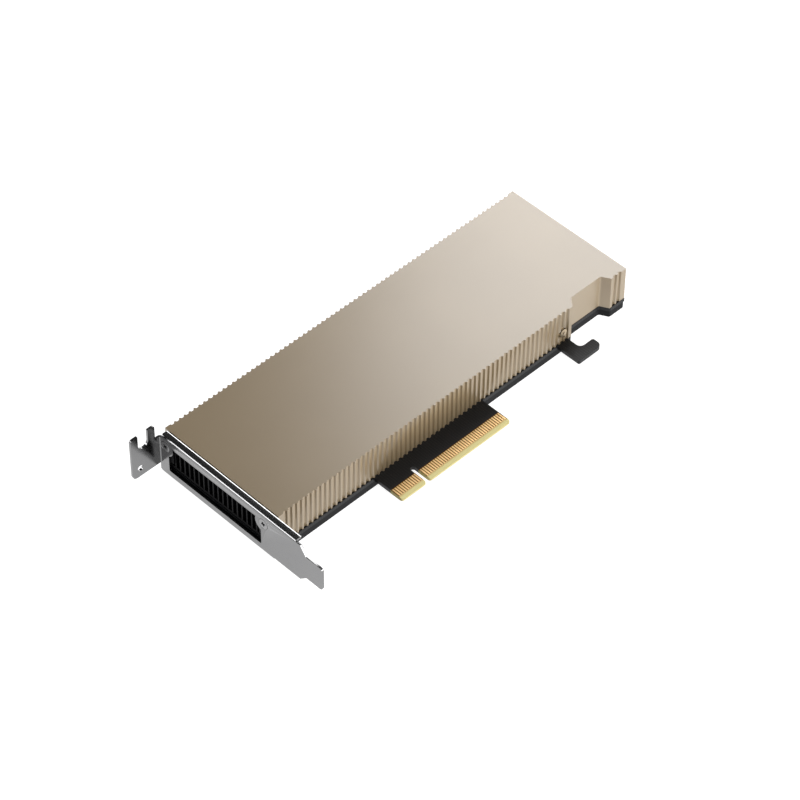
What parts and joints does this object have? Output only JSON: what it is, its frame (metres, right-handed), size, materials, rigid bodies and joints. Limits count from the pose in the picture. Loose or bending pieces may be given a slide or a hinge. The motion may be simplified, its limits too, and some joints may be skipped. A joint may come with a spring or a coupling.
{
  "type": "passive accelerator card",
  "caption": "Low-profile single-slot accelerator card with a ribbed champagne metal cover over a black fin stack, a folded bracket with an air window, and a gold-plated edge connector.",
  "frame": {"origin": "centre line of the edge connector's key notch, at the lower edge of the contact tab, on the component side of the board", "axes": "+X along the card, away from the bracket; +Y from the contacts to the back edge; +Z out of the component side"},
  "size_m": [0.1814, 0.0792, 0.024],
  "materials": {
    "champagne_metal": "satin, anodised",
    "black_metal": "matte, black anodised",
    "bracket_steel": "satin, plated",
    "board_laminate": "satin, black mask over laminate",
    "contact_gold": "satin, plated",
    "backplate_metal": "satin, black",
    "screw_steel": "satin",
    "film": "matte",
    "package_laminate": "satin",
    "silicon": "polished",
    "stiffener_steel": "satin",
    "thermal_grease": "matte",
    "thermal_pad": "matte",
    "chip_resin": "matte",
    "inductor_powder": "matte, pressed powder",
    "capacitor_resin": "satin",
    "capacitor_ceramic": "matte ceramic",
    "crystal_can": "satin"
  },
  "bodies": {
    "root": {"board": "board_laminate", "edge_contacts_component_side": "contact_gold", "edge_contacts_solder_side": "contact_gold", "cover": "champagne_metal", "cover_side_screws": "screw_steel", "heatsink": "black_metal", "bracket": "bracket_steel", "bracket_screws": "screw_steel", "backplate": "backplate_metal", "backplate_screws": "screw_steel", "insulating_film": "film", "processor_substrate": "package_laminate", "processor_die": "silicon", "die_thermal_interface": "thermal_grease", "processor_stiffener": "stiffener_steel", "memory_chips": "chip_resin", "memory_thermal_pads": "thermal_pad", "power_inductors": "inductor_powder", "inductor_thermal_pads": "thermal_pad", "auxiliary_inductors": "inductor_powder", "power_stages": "chip_resin", "polymer_capacitors": "capacitor_resin", "component_side_capacitors": "capacitor_ceramic", "solder_side_capacitors": "capacitor_ceramic", "support_chips": "chip_resin", "timing_crystals": "crystal_can"}
  },
  "joints": []
}
